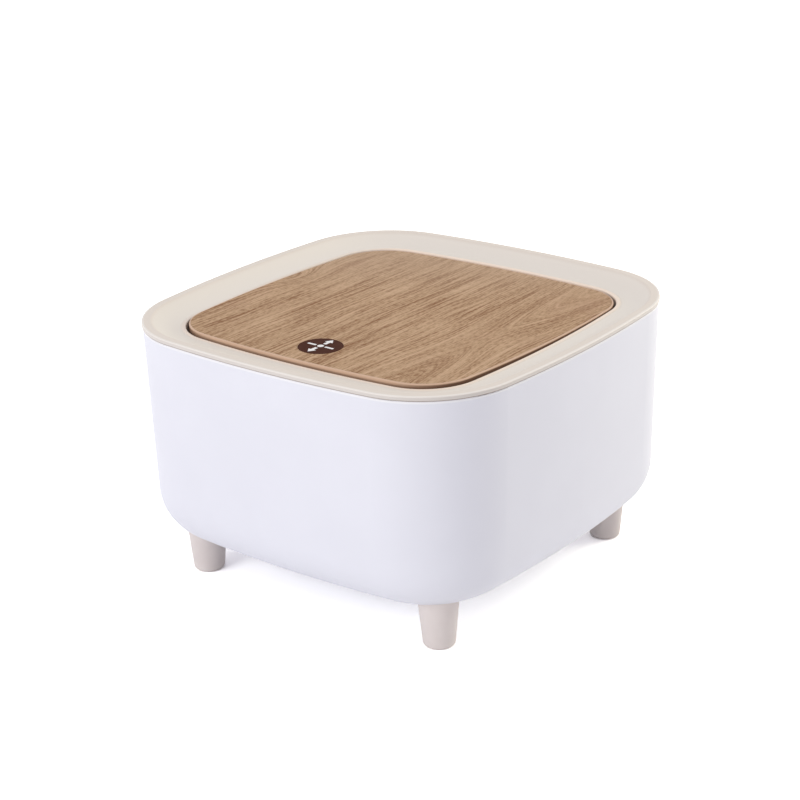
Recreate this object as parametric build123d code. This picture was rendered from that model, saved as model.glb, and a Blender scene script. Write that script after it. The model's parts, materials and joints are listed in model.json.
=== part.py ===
from build123d import *
import os
from math import atan2, cos, pi, radians, sin, sqrt

# Push top countertop bin: a bowed square tub on four legs, with a lift-off ring that carries a
# two-way swinging lid. Millimetres, +Z up, the badge side of the lid faces -Y, and the origin is on
# the worktop under the middle of the tub.

# ---- driving dimensions ----------------------------------------------------------------------------

# plan form, shared by tub, ring and lid: four bowed sides joined by round corners
half_width = 100.0          # ring edge, from the middle of the bin to the middle of a side
side_bow_radius = 577.0
corner_radius = 46.2

# tub
leg_length = 20.5           # worktop to the tub's flat bottom
tub_height = 101.7
tub_wall = 2.2
tub_floor = 2.5
tub_draft = 1.6             # degrees, each wall, narrower at the bottom
tub_bottom_round = 23.3
tub_rim_round = 0.4

# legs and their fixings
leg_inset = 32.6            # leg centre, in from the middle of each ring side
leg_top_diameter = 18.2
leg_foot_diameter = 14.3
leg_foot_round = 1.8
leg_boss_diameter = 13.0
leg_boss_height = 3.2       # above the tub's inner floor
leg_screw_diameter = 4.0
leg_screw_play = 0.15       # radial, in the tub's hole
leg_screw_bite = 13.0       # length of the screw inside the leg
leg_seal_thickness = 1.0
leg_seal_diameter = 8.4

# top ring
ring_overhang = 0.4         # ring edge beyond the tub wall
ring_edge_height = 2.2
ring_edge_round = 0.6       # top of the edge
ring_foot_round = 0.4       # bottom of the edge
ring_wall = 1.8
ring_crest_width = 4.2
ring_crest_round = 0.4
ring_lip_width = 19.9       # ring edge to the lid opening
ring_lip_drop = 4.1         # crest to lip
ring_bead_width = 2.3
ring_bead_ramp = 0.8        # width of the slope up to the bead's flat top
ring_bead_height = 0.4      # lip above the lowest part of the dish
ring_bead_round = 0.35
ring_lip_round = 0.6
ring_throat_height = 9.6    # wall round the lid opening, down from the lip
ring_throat_round = 0.35
ring_skirt_depth = 13.4     # below the tub rim
ring_skirt_play = 0.5       # between skirt and tub wall at the rim
ring_skirt_lead = 0.6       # chamfer on the skirt's lower edges, as a lead-in

# lid
lid_gap = 1.3
lid_proud = 0.55            # lid top above the lip, when level
lid_depth = 9.0
lid_wall = 1.6
lid_skin = 1.5
lid_rim_width = 0.7         # shell rim left showing round the panel
lid_edge_round = 0.45
lid_rest_tilt = -0.7        # degrees about +X: the front edge rests a little high
panel_thickness = 0.8
panel_play = 0.05
cover_thickness = 1.5
cover_play = 0.2

# badge
badge_diameter = 20.0
badge_play = 0.1
badge_proud = 0.2
badge_edge_round = 0.15
badge_setback = 19.5        # badge centre behind the lid's front edge

# pivots
pivot_drop = 4.85           # lid top down to the pivot axis
pin_diameter = 4.0
pin_running_play = 0.05     # radial
pin_grip = 11.0             # length of pin pressed into the lid, inside the lid wall
pin_boss_width = 9.0
bearing_length = 8.4        # block, out from the back of the ring's throat wall
bearing_width = 18.0
bearing_play = 0.1          # cap plug in its slot
cap_flange = 1.6
swing_limit = 80.0          # degrees from level, each way
stop_finger_reach = 8.5     # from the pivot axis
stop_finger_width = 3.0
stop_finger_thickness = 1.6
stop_finger_play = 0.4      # between finger and bearing block
stop_offset = 5.0           # stop shoulder's inner edge, from the pivot axis
stop_width = 3.5
stop_play = 0.12

# counterweight
weight_diameter = 9.0
weight_length = 112.0
weight_chamfer = 0.72
weight_drop = 10.2          # below the pivot axis
weight_play = 0.1
trough_wall = 1.4
keeper_rib_spacing = 70.0
keeper_rib_length = 8.0
keeper_rib_thickness = 2.0

# small screws, for lid cover and bearing caps
small_screw_diameter = 2.5
small_screw_play = 0.15     # radial, in a clearance hole
small_screw_bite = 4.2
cap_screw_bite = 6.5
cap_screw_spacing = 12.0
cover_screw_inset = 27.2    # in from the middle of each lid side
screw_post_diameter = 7.0
post_blind = 0.4            # plastic left above a pilot hole

# pan-head screws, in shank diameters
head_radius_ratio = 0.95
head_height_ratio = 0.6
head_round_ratio = 0.24
recess_length_ratio = 1.045
recess_width_ratio = 0.2
recess_floor_ratio = 0.27   # above the underside of the head
tip_chamfer_ratio = 0.2

# ---- worked out from the driving dimensions --------------------------------------------------------

tub_bottom_z = leg_length
rim_z = leg_length + tub_height
crest_z = rim_z + ring_edge_height
lip_z = crest_z - ring_lip_drop
dish_z = lip_z - ring_bead_height
throat_z = lip_z - ring_throat_height
skirt_z = rim_z - ring_skirt_depth
lid_top_z = lip_z + lid_proud
lid_bottom_z = lid_top_z - lid_depth
panel_bottom_z = lid_top_z - panel_thickness
skin_bottom_z = panel_bottom_z - lid_skin
cover_top_z = lid_bottom_z + cover_thickness
pivot_z = lid_top_z - pivot_drop
weight_z = pivot_z - weight_drop

tub_inset = ring_overhang
tub_inner_inset = tub_inset + tub_wall
skirt_inset = tub_inner_inset + ring_skirt_play
lid_inset = ring_lip_width + lid_gap
leg_reach = half_width - leg_inset

pin_radius = pin_diameter / 2
bearing_radius = pin_radius + pin_running_play
throat_x = half_width - ring_lip_width
lid_side_x = half_width - lid_inset
cover_screw_reach = lid_side_x - cover_screw_inset
pin_inner_x = lid_side_x - lid_wall - pin_grip
bearing_inner_x = throat_x + ring_wall / 2
bearing_outer_x = throat_x + ring_wall + bearing_length
finger_inner_x = bearing_outer_x + stop_finger_play
finger_outer_x = finger_inner_x + stop_finger_thickness
cap_screw_x = (throat_x + ring_wall + bearing_outer_x) / 2

OVER = 1.0                  # how far a cutting tool runs past the face it cuts
SIDES = {"left": -1, "right": 1}
FRONT_REAR = {"front": -1, "rear": 1}


# ---- plan form -------------------------------------------------------------------------------------

def corner_centre():
    """Distance from the middle to a corner arc's centre, where it runs smoothly into the side bows."""
    bow_offset = side_bow_radius - half_width
    reach = side_bow_radius - corner_radius
    return (sqrt(2 * reach ** 2 - bow_offset ** 2) - bow_offset) / 2


def plan_arcs(inset, z=0.0):
    """The plan outline as tangent arcs, anticlockwise from the middle of the +X side."""
    centre = corner_centre()
    bow_centre = half_width - side_bow_radius
    join = atan2(centre, centre - bow_centre)
    bow = (bow_centre, 0.0, side_bow_radius - inset)
    corner = (centre, centre, corner_radius - inset)
    spans = [(bow, 0.0, join), (corner, join, pi / 2 - join), (bow, -join, 0.0)]
    arcs = []
    for quarter in range(4):
        turn = quarter * pi / 2
        for index, ((cx, cy, radius), start, end) in enumerate(spans):
            own_turn = turn + pi / 2 if index == 2 else turn
            points = []
            for angle in (start, (start + end) / 2, end):
                x = cx + radius * cos(angle)
                y = cy + radius * sin(angle)
                points.append((x * cos(own_turn) - y * sin(own_turn),
                               x * sin(own_turn) + y * cos(own_turn), z))
            arcs.append(ThreePointArc(*points))
    return arcs


def plan_face(inset, z):
    """The plan outline at a height, as a face."""
    return make_face(Wire(plan_arcs(inset, z)))


def plan_prism(inset, low_z, high_z):
    """The plan outline with straight sides, between two heights."""
    return extrude(plan_face(inset, low_z), amount=high_z - low_z, dir=(0, 0, 1))


def block(x_span, y_span, z_span):
    """A rectangular block given by its limits."""
    size = [high - low for low, high in (x_span, y_span, z_span)]
    middle = [(high + low) / 2 for low, high in (x_span, y_span, z_span)]
    return Pos(*middle) * Box(*size)


def rod_x(radius, low_x, high_x, y, z):
    """A cylinder along X."""
    return Pos((low_x + high_x) / 2, y, z) * Rot(0, 90, 0) * Cylinder(radius, high_x - low_x)


def rod_z(radius, low_z, high_z, x, y):
    """A cylinder along Z."""
    return Pos(x, y, (low_z + high_z) / 2) * Cylinder(radius, high_z - low_z)


def side_profile(points):
    """A face in the XZ plane through corner points."""
    return make_face(Polyline(*[(x, 0, z) for x, z in points], close=True))


def screw(diameter, length, x, y, seat_z, up=1):
    """A pan-head screw with a cross recess: head above its seat (up=1) or below it (up=-1)."""
    head_height = diameter * head_height_ratio
    head = rod_z(diameter * head_radius_ratio, 0, head_height, 0, 0)
    head = fillet(head.edges().group_by(Axis.Z)[-1], diameter * head_round_ratio)
    shank = rod_z(diameter / 2, -length, 0, 0, 0)
    shank = chamfer(shank.edges().group_by(Axis.Z)[0], diameter * tip_chamfer_ratio)
    half_length = diameter * recess_length_ratio / 2
    half_slot = diameter * recess_width_ratio / 2
    long = (-half_length, half_length)
    narrow = (-half_slot, half_slot)
    depth = (diameter * recess_floor_ratio, head_height + OVER)
    recess = block(long, narrow, depth) + block(narrow, long, depth)
    whole = head + shank - recess
    if up < 0:
        whole = Rot(180, 0, 0) * whole
    return Pos(x, y, seat_z) * whole


def corner_points(reach):
    """The four corners of a square pattern, each a given reach from the middle in X and in Y."""
    return [(side * reach, end * reach) for side in SIDES.values() for end in FRONT_REAR.values()]


# ---- tub and legs ----------------------------------------------------------------------------------

def drafted_form(inset, bottom_z, bottom_round):
    """Solid with the tub's plan at the rim, drafted walls and a rounded bottom edge."""
    form = extrude(plan_face(inset, rim_z), amount=rim_z - bottom_z, dir=(0, 0, -1), taper=tub_draft)
    bottom_edges = form.edges().group_by(Axis.Z)[0]
    return fillet(bottom_edges, bottom_round)


def tub_outer_form():
    return drafted_form(tub_inset, tub_bottom_z, tub_bottom_round)


def leg_seat_z():
    """Top of the boss that a leg screw bears on, inside the tub."""
    return tub_bottom_z + tub_floor + leg_boss_height


def make_tub():
    outer = tub_outer_form()
    inner = drafted_form(tub_inner_inset, tub_bottom_z + tub_floor, tub_bottom_round - tub_wall)
    tub = outer - inner
    for x, y in corner_points(leg_reach):
        boss = rod_z(leg_boss_diameter / 2, tub_bottom_z, leg_seat_z(), x, y)
        tub += boss & outer
    hole_radius = leg_screw_diameter / 2 + leg_screw_play
    for x, y in corner_points(leg_reach):
        tub -= rod_z(hole_radius, tub_bottom_z - OVER, leg_seat_z() + OVER, x, y)
    rim_edges = tub.edges().group_by(Axis.Z)[-1]
    return fillet(rim_edges, tub_rim_round)


def make_leg(x, y):
    """A tapered leg whose top follows the tub's rounded bottom."""
    slope = (leg_top_diameter - leg_foot_diameter) / 2 / leg_length
    blank_height = leg_length + tub_bottom_round / 2
    blank_radius = leg_foot_diameter / 2 + slope * blank_height
    blank = Pos(x, y, blank_height / 2) * Cone(leg_foot_diameter / 2, blank_radius, blank_height)
    foot_edge = blank.edges().group_by(Axis.Z)[0]
    leg = fillet(foot_edge, leg_foot_round) - tub_outer_form()
    leg = leg.solids().sort_by(Axis.Z)[0]
    pilot_bottom = leg_seat_z() + leg_seal_thickness - leg_screw_length() - post_blind
    return leg - rod_z(leg_screw_diameter / 2, pilot_bottom, rim_z, x, y)


def leg_screw_length():
    return leg_seal_thickness + leg_boss_height + tub_floor + leg_screw_bite


def make_leg_screws():
    seat_z = leg_seat_z() + leg_seal_thickness
    return [screw(leg_screw_diameter, leg_screw_length(), x, y, seat_z)
            for x, y in corner_points(leg_reach)]


def make_leg_seals():
    seals = []
    for x, y in corner_points(leg_reach):
        low_z = leg_seat_z()
        disc = rod_z(leg_seal_diameter / 2, low_z, low_z + leg_seal_thickness, x, y)
        hole = rod_z(leg_screw_diameter / 2, low_z - OVER, low_z + leg_seal_thickness + OVER, x, y)
        seals.append(disc - hole)
    return seals


# ---- top ring --------------------------------------------------------------------------------------

def dish_radius():
    """Radius of the dish, an arc from the crest's inner edge that ends level beside the bead."""
    run = ring_lip_width - ring_bead_width - ring_crest_width
    drop = crest_z - dish_z
    return (run ** 2 + drop ** 2) / (2 * drop)


def dish_height(inset, below=0.0):
    """Height of the dish, or of a line a given depth below it, at an inset from the ring's edge."""
    run = ring_lip_width - ring_bead_width - inset
    return dish_z + dish_radius() - sqrt((dish_radius() + below) ** 2 - run ** 2)


def dish_arc(first_inset, last_inset, below=0.0):
    """An arc of the ring section between two insets."""
    middle = (first_inset + last_inset) / 2
    points = [(half_width - inset, 0, dish_height(inset, below))
              for inset in (first_inset, middle, last_inset)]
    return ThreePointArc(*points)


def ring_section():
    """The ring's section on the +X side: edge, crest, dish, bead, throat wall, channel and skirt."""
    dish_end = ring_lip_width - ring_bead_width
    bead_start = dish_end + ring_bead_ramp
    skirt_inner = skirt_inset + ring_wall
    throat_outer = ring_lip_width - ring_wall
    channel_z = dish_z - ring_wall

    def at(inset, z):
        return (half_width - inset, 0, z)

    edge = Polyline(at(skirt_inset, rim_z), at(0, rim_z), at(0, crest_z), at(ring_crest_width, crest_z))
    dish = dish_arc(ring_crest_width, dish_end)
    throat = Polyline(at(dish_end, dish_z), at(bead_start, lip_z), at(ring_lip_width, lip_z),
                      at(ring_lip_width, throat_z), at(throat_outer, throat_z),
                      at(throat_outer, channel_z), at(dish_end, channel_z))
    channel = dish_arc(dish_end, skirt_inner, ring_wall)
    skirt = Polyline(at(skirt_inner, dish_height(skirt_inner, ring_wall)), at(skirt_inner, skirt_z),
                     at(skirt_inset, skirt_z), at(skirt_inset, rim_z))
    lines = [edge, dish, throat, channel, skirt]
    section = Face(Wire([part_edge for line in lines for part_edge in line.edges()]))
    rounds = [
        (at(0, crest_z), ring_edge_round),
        (at(0, rim_z), ring_foot_round),
        (at(ring_crest_width, crest_z), ring_crest_round),
        (at(bead_start, lip_z), ring_bead_round),
        (at(ring_lip_width, lip_z), ring_lip_round),
        (at(ring_lip_width, throat_z), ring_throat_round),
    ]
    for point, radius in rounds:
        corner = section.vertices().sort_by_distance(point)[0]
        section = section.fillet_2d(radius, [corner])
    lead_in = [section.vertices().sort_by_distance(at(inset, skirt_z))[0]
               for inset in (skirt_inset, skirt_inner)]
    return section.chamfer_2d(ring_skirt_lead, ring_skirt_lead, lead_in)


def stop_height():
    """Lower face of a stop shoulder above the pivot axis: where the finger meets it at the limit."""
    limit = radians(swing_limit)
    return (stop_finger_width / 2 - stop_offset * cos(limit)) / sin(limit) + stop_play


def bearing_block(side):
    """Block behind the throat wall that carries a pivot, with the two stop shoulders on it."""
    outer_inset = half_width - bearing_outer_x
    stop_inset = half_width - finger_outer_x
    half_depth = ring_wall / 2
    body = side_profile([
        (bearing_inner_x, throat_z), (bearing_outer_x, throat_z),
        (bearing_outer_x, dish_height(outer_inset, half_depth)),
        (bearing_inner_x, dish_z - half_depth)])
    body = extrude(body, amount=bearing_width / 2, both=True)
    stop = side_profile([
        (bearing_outer_x - OVER, pivot_z + stop_height()), (finger_outer_x, pivot_z + stop_height()),
        (finger_outer_x, dish_height(stop_inset, half_depth)),
        (bearing_outer_x - OVER, dish_height(outer_inset + OVER, half_depth))])
    stop = extrude(stop, amount=stop_width / 2, both=True)
    for end in FRONT_REAR.values():
        body += Pos(0, end * (stop_offset + stop_width / 2), 0) * stop
    return body if side > 0 else Rot(0, 0, 180) * body


def bearing_slot(side):
    """Cutter for a pivot bearing: a round bore whose lower half is open downwards."""
    span = sorted((side * (throat_x - OVER), side * (bearing_outer_x + OVER)))
    bore = rod_x(bearing_radius, *span, 0, pivot_z)
    slot = block(span, (-bearing_radius, bearing_radius), (throat_z - OVER, pivot_z))
    return bore + slot


def make_ring():
    path = Wire(plan_arcs(0.0))
    ring = sweep(ring_section(), path=path)
    for side in SIDES.values():
        ring += bearing_block(side)
    for side in SIDES.values():
        ring -= bearing_slot(side)
        for end in FRONT_REAR.values():
            y = end * cap_screw_spacing / 2
            ring -= rod_z(small_screw_diameter / 2, throat_z - OVER,
                          throat_z + cap_screw_bite + post_blind, side * cap_screw_x, y)
    return ring


def make_bearing_cap(side):
    """Cap that closes a pivot slot from below: a plug under the pin and a screwed flange."""
    span = sorted((side * bearing_inner_x, side * bearing_outer_x))
    flange = block(span, (-bearing_width / 2, bearing_width / 2), (throat_z - cap_flange, throat_z))
    plug_half = bearing_radius - bearing_play
    plug_top = pivot_z - sqrt(bearing_radius ** 2 - plug_half ** 2)
    plug = block(span, (-plug_half, plug_half), (throat_z - cap_flange / 2, plug_top))
    cap = flange + plug
    cap -= rod_x(bearing_radius, span[0] - OVER, span[1] + OVER, 0, pivot_z)
    for end in FRONT_REAR.values():
        cap -= rod_z(small_screw_diameter / 2 + small_screw_play, throat_z - cap_flange - OVER,
                     throat_z + OVER, side * cap_screw_x, end * cap_screw_spacing / 2)
    return cap


def make_cap_screws():
    screws = []
    for side in SIDES.values():
        for end in FRONT_REAR.values():
            y = end * cap_screw_spacing / 2
            screws.append(screw(small_screw_diameter, cap_flange + cap_screw_bite,
                                side * cap_screw_x, y, throat_z - cap_flange, up=-1))
    return screws


# ---- lid, built level and then set to its rest tilt ------------------------------------------------

def tilted(shape):
    """Turns a level lid piece about the pivot axis to where it rests."""
    return shape.rotate(Axis((0, 0, pivot_z), (1, 0, 0)), lid_rest_tilt)


def badge_y():
    return -(half_width - lid_inset) + badge_setback


def make_lid_shell():
    shell = plan_prism(lid_inset, lid_bottom_z, lid_top_z)
    shell = fillet(shell.edges().group_by(Axis.Z)[-1], lid_edge_round)
    shell -= plan_prism(lid_inset + lid_rim_width, panel_bottom_z, lid_top_z + OVER)
    shell -= plan_prism(lid_inset + lid_wall, lid_bottom_z - OVER, skin_bottom_z)
    top = skin_bottom_z + lid_skin / 2
    for side in SIDES.values():
        boss_span = sorted((side * pin_inner_x, side * (lid_side_x - lid_wall / 2)))
        boss_y = (-pin_boss_width / 2, pin_boss_width / 2)
        shell += block(boss_span, boss_y, (cover_top_z, top))
        rib_x = side * keeper_rib_spacing / 2
        half_rib = keeper_rib_thickness / 2
        keeper_z = weight_z + weight_diameter / 2 + weight_play
        shell += block((rib_x - half_rib, rib_x + half_rib),
                       (-keeper_rib_length / 2, keeper_rib_length / 2), (keeper_z, top))
    for x, y in corner_points(cover_screw_reach):
        shell += rod_z(screw_post_diameter / 2, cover_top_z, top, x, y)
    for x, y in corner_points(cover_screw_reach):
        shell -= rod_z(small_screw_diameter / 2, cover_top_z - OVER,
                       cover_top_z + small_screw_bite + post_blind, x, y)
    for side in SIDES.values():
        hole_span = sorted((side * pin_inner_x, side * (lid_side_x + OVER)))
        shell -= rod_x(pin_radius, *hole_span, 0, pivot_z)
    return shell


def make_lid_panel():
    panel = plan_prism(lid_inset + lid_rim_width + panel_play, panel_bottom_z, lid_top_z)
    hole_radius = badge_diameter / 2 + badge_play
    return panel - rod_z(hole_radius, panel_bottom_z - OVER, lid_top_z + OVER, 0, badge_y())


def make_badge():
    badge = rod_z(badge_diameter / 2, panel_bottom_z, lid_top_z + badge_proud, 0, badge_y())
    return fillet(badge.edges().group_by(Axis.Z)[-1], badge_edge_round)


def trough_form(radius, half_length, top_z):
    """Round-bottomed bar along X, up to a height."""
    upper = block((-half_length, half_length), (-radius, radius), (weight_z, top_z))
    return rod_x(radius, -half_length, half_length, 0, weight_z) + upper


def make_lid_cover():
    cover = plan_prism(lid_inset + lid_wall + cover_play, lid_bottom_z, cover_top_z)
    inner_radius = weight_diameter / 2 + weight_play
    inner_half = weight_length / 2 + weight_play
    cover += trough_form(inner_radius + trough_wall, inner_half + trough_wall, cover_top_z)
    cover -= trough_form(inner_radius, inner_half, cover_top_z + OVER)
    for x, y in corner_points(cover_screw_reach):
        cover -= rod_z(small_screw_diameter / 2 + small_screw_play, lid_bottom_z - OVER,
                       cover_top_z + OVER, x, y)
    return cover


def make_counterweight():
    weight = rod_x(weight_diameter / 2, -weight_length / 2, weight_length / 2, 0, weight_z)
    return chamfer(weight.edges().filter_by(GeomType.CIRCLE), weight_chamfer)


def make_lid_screws():
    return [screw(small_screw_diameter, cover_thickness + small_screw_bite, x, y, lid_bottom_z, up=-1)
            for x, y in corner_points(cover_screw_reach)]


def make_pivot_pin(side):
    """Pin pressed into the lid, with the stop finger on its outer end."""
    pin_span = sorted((side * pin_inner_x, side * finger_outer_x))
    pin = rod_x(pin_radius, *pin_span, 0, pivot_z)
    finger_span = sorted((side * finger_inner_x, side * finger_outer_x))
    half = stop_finger_width / 2
    finger = block(finger_span, (-half, half), (pivot_z - stop_finger_reach, pivot_z))
    return pin + finger


# ---- write one file per node -----------------------------------------------------------------------

def level_to_rest(pieces):
    """Sets a piece, or each piece of a group, to the lid's rest tilt."""
    if isinstance(pieces, list):
        return [tilted(piece) for piece in pieces]
    return tilted(pieces)


def make_nodes():
    nodes = {"tub": make_tub()}
    for end_name, end in FRONT_REAR.items():
        for side_name, side in SIDES.items():
            nodes[f"leg_{end_name}_{side_name}"] = make_leg(side * leg_reach, end * leg_reach)
    nodes["leg_screws"] = make_leg_screws()
    nodes["leg_screw_seals"] = make_leg_seals()
    nodes["top_ring"] = make_ring()
    nodes["bearing_cap_screws"] = make_cap_screws()
    lid = {
        "lid_shell": make_lid_shell(),
        "lid_panel": make_lid_panel(),
        "badge": make_badge(),
        "lid_cover": make_lid_cover(),
        "counterweight": make_counterweight(),
        "lid_screws": make_lid_screws(),
    }
    for side_name, side in SIDES.items():
        nodes[f"bearing_cap_{side_name}"] = make_bearing_cap(side)
        lid[f"pivot_pin_{side_name}"] = make_pivot_pin(side)
    for name, pieces in lid.items():
        nodes[name] = level_to_rest(pieces)
    return nodes


def write_node(name, pieces):
    shape = Compound(children=pieces) if isinstance(pieces, list) else pieces
    export_step(shape, f"parts/{name}.step")


os.makedirs("parts", exist_ok=True)
for node_name, node_pieces in make_nodes().items():
    write_node(node_name, node_pieces)
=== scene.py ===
"""Push top countertop bin: finishes, top ring, screws, badge print and studio."""

import json
from math import cos, pi, radians, sin
from types import SimpleNamespace

import bpy
from bpy.props import FloatProperty, FloatVectorProperty, PointerProperty
from bpy.types import Operator, Panel, PropertyGroup
from mathutils import Matrix, Quaternion, Vector


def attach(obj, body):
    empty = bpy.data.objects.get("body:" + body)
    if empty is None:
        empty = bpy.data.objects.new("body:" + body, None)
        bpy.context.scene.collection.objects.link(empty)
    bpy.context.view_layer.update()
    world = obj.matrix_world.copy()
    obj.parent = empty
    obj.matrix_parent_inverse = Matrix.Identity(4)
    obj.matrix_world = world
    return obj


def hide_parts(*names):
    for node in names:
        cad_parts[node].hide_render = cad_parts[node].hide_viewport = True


bl_info = {
    "name": "Push Top Countertop Bin",
    "version": (1, 0, 0),
    "blender": (4, 5, 0),
    "location": "3D View > Sidebar > Bin",
    "description": "Finishes, ring, screws, badge print and studio for a push top countertop bin",
    "category": "Object",
}

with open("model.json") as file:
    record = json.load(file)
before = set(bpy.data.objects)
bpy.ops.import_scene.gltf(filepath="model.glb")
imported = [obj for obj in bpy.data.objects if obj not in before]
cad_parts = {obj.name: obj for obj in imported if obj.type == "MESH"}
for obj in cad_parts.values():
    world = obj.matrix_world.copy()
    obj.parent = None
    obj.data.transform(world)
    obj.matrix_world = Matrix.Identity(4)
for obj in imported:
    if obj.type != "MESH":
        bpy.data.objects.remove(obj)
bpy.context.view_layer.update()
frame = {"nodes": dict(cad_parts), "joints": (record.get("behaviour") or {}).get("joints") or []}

MM = 0.001
TUB_BODY, RING_BODY, LID_BODY = "tub_body", "ring_body", "lid_body"
JOINTS = {joint["name"]: joint for joint in frame["joints"]}
PIVOT = Vector(JOINTS["lid_swing"]["pos_m"])
REST_TILT = radians(-sum(JOINTS["lid_swing"]["range_deg"]) / 2)
LID_RISE = 4.85 * MM            # pivot to the top of the lid
BADGE_RISE = LID_RISE + 0.2 * MM
BADGE_Y = -59.3 * MM            # middle of the badge on the level lid

# steps of the grown shapes
ROUND_STEPS = 5                 # round a small rounded corner of a section
DISH_STEPS = 6                  # from the ring's crest down its dish
BOW_STEPS = 20                  # along a side of the plan
CORNER_STEPS = 28               # round a corner of the plan
LATHE_STEPS = 40                # round a turned shape
THREAD_STEPS = 20               # round one turn of a thread
LATHE_REACH = 0.01              # metres, from a turned shape's axis to its guide circle
MERGE = 1e-6                    # metres, under which two points are one
CRISP_ANGLE = 0.4               # radians, over which an edge isn't smoothed

# sockets of a Mix node that blends colours
MIX_SHARE, MIX_FIRST, MIX_SECOND, MIX_RESULT = 0, 6, 7, 2


# ---- node trees ----

class Wire:
    """An output socket that Python arithmetic can be written on."""

    def __init__(self, sheet, socket):
        self.sheet = sheet
        self.socket = socket

    def math(self, operation, *others):
        return self.sheet.add("ShaderNodeMath", {"operation": operation}, [self, *others])

    def __add__(self, other):
        return self.math("ADD", other)

    def __sub__(self, other):
        return self.math("SUBTRACT", other)

    def __rsub__(self, other):
        return self.sheet.add("ShaderNodeMath", {"operation": "SUBTRACT"}, [other, self])

    def __mul__(self, other):
        return self.math("MULTIPLY", other)

    def __truediv__(self, other):
        return self.math("DIVIDE", other)

    def __pow__(self, other):
        return self.math("POWER", other)

    __radd__ = __add__
    __rmul__ = __mul__

    def __getitem__(self, name):
        """Another output of the same node."""
        return Wire(self.sheet, self.socket.node.outputs[name])


class Sheet:
    """A node tree that is drawn through one method."""

    def __init__(self, tree):
        self.tree = tree

    def add(self, kind, settings=None, sockets=()):
        """Adds a node: its settings, then values or wires for its sockets, by order or name.

        The setting "stops" fills a colour ramp, and "items" gives an index switch its length.
        """
        node = self.tree.nodes.new(kind)
        for name, value in (settings or {}).items():
            if name == "stops":
                set_stops(node.color_ramp, value)
            elif name == "items":
                while len(node.index_switch_items) < value:
                    node.index_switch_items.new()
            else:
                setattr(node, name, value)
        pairs = sockets.items() if isinstance(sockets, dict) else enumerate(sockets)
        for key, value in pairs:
            wires = value if isinstance(value, list) else [value]
            for wire in wires:
                if isinstance(wire, Wire):
                    self.tree.links.new(wire.socket, node.inputs[key])
                else:
                    node.inputs[key].default_value = wire
        return Wire(self, node.outputs[0]) if node.outputs else None

    def vector(self, *values):
        return self.add("ShaderNodeCombineXYZ", {}, values)

    def mix(self, share, first, second):
        """A blend of two colours."""
        first, second = (value if isinstance(value, Wire) else (*value, 1.0)
                         for value in (first, second))
        return self.add("ShaderNodeMix", {"data_type": "RGBA"},
                        {MIX_SHARE: share, MIX_FIRST: first, MIX_SECOND: second})[MIX_RESULT]


def set_stops(ramp, stops):
    """Gives a colour ramp its stops, as pairs of place and colour."""
    while len(ramp.elements) > 1:
        ramp.elements.remove(ramp.elements[-1])
    for index, (place, colour) in enumerate(stops):
        element = ramp.elements[0] if index == 0 else ramp.elements.new(place)
        element.position = place
        element.color = (*colour, 1.0)


def srgb(red, green, blue):
    """A colour given as it shows on a screen, 0 to 255, as linear light."""
    def linear(level):
        level /= 255
        return level / 12.92 if level <= 0.04045 else ((level + 0.055) / 1.055) ** 2.4
    return tuple(linear(level) for level in (red, green, blue))


def link(data, name):
    thing = bpy.data.objects.new(name, data)
    bpy.context.scene.collection.objects.link(thing)
    return thing


class Finish(Sheet):
    """A material's tree, with the few compound nodes that the bin's finishes share."""

    def __init__(self, name):
        self.material = bpy.data.materials.new(name)
        self.material.use_nodes = True
        super().__init__(self.material.node_tree)
        self.tree.nodes.clear()
        self.place = self.add("ShaderNodeTexCoord")["Object"]

    def axes(self):
        """The place on the bin, in millimetres, as three numbers."""
        parts = self.add("ShaderNodeSeparateXYZ", {}, [self.place])
        return [parts[name] * (1 / MM) for name in "XYZ"]

    def noise(self, where, detail, roughness=0.5):
        """Noise from 0 to 1 with features about one unit of the given place across."""
        return self.add("ShaderNodeTexNoise", {},
                        {"Vector": where, "Scale": 1.0, "Detail": detail, "Roughness": roughness})

    def streaks(self, across, along, shape, detail=2.0, roughness=0.5):
        """Noise drawn out along one axis; its shape is a width, a length and a seed."""
        width, length, seed = shape
        return self.noise(self.vector(across / width, along / length, seed), detail, roughness)

    def speckle(self, grain, detail=2.0):
        """Noise over the whole piece, with features a given number of millimetres wide."""
        scale = self.add("ShaderNodeVectorMath", {"operation": "SCALE"},
                         {"Vector": self.place, "Scale": 1 / (grain * MM)})
        return self.noise(scale, detail)

    def step(self, value, low, high):
        """0 below low, 1 above high, smooth between."""
        return self.add("ShaderNodeMapRange", {"interpolation_type": "SMOOTHSTEP"},
                        {"Value": value, "From Min": low, "From Max": high})

    def bump(self, height, depth):
        """A normal from a height of 0 to 1 that stands for a depth in millimetres."""
        return self.add("ShaderNodeBump", {},
                        {"Strength": 1.0, "Distance": depth * MM, "Height": height})

    def surface(self, sockets):
        """Ends the tree in a Principled surface and gives back the material."""
        shader = self.add("ShaderNodeBsdfPrincipled", {}, sockets)
        self.add("ShaderNodeOutputMaterial", {}, {"Surface": shader})
        return self.material


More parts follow.
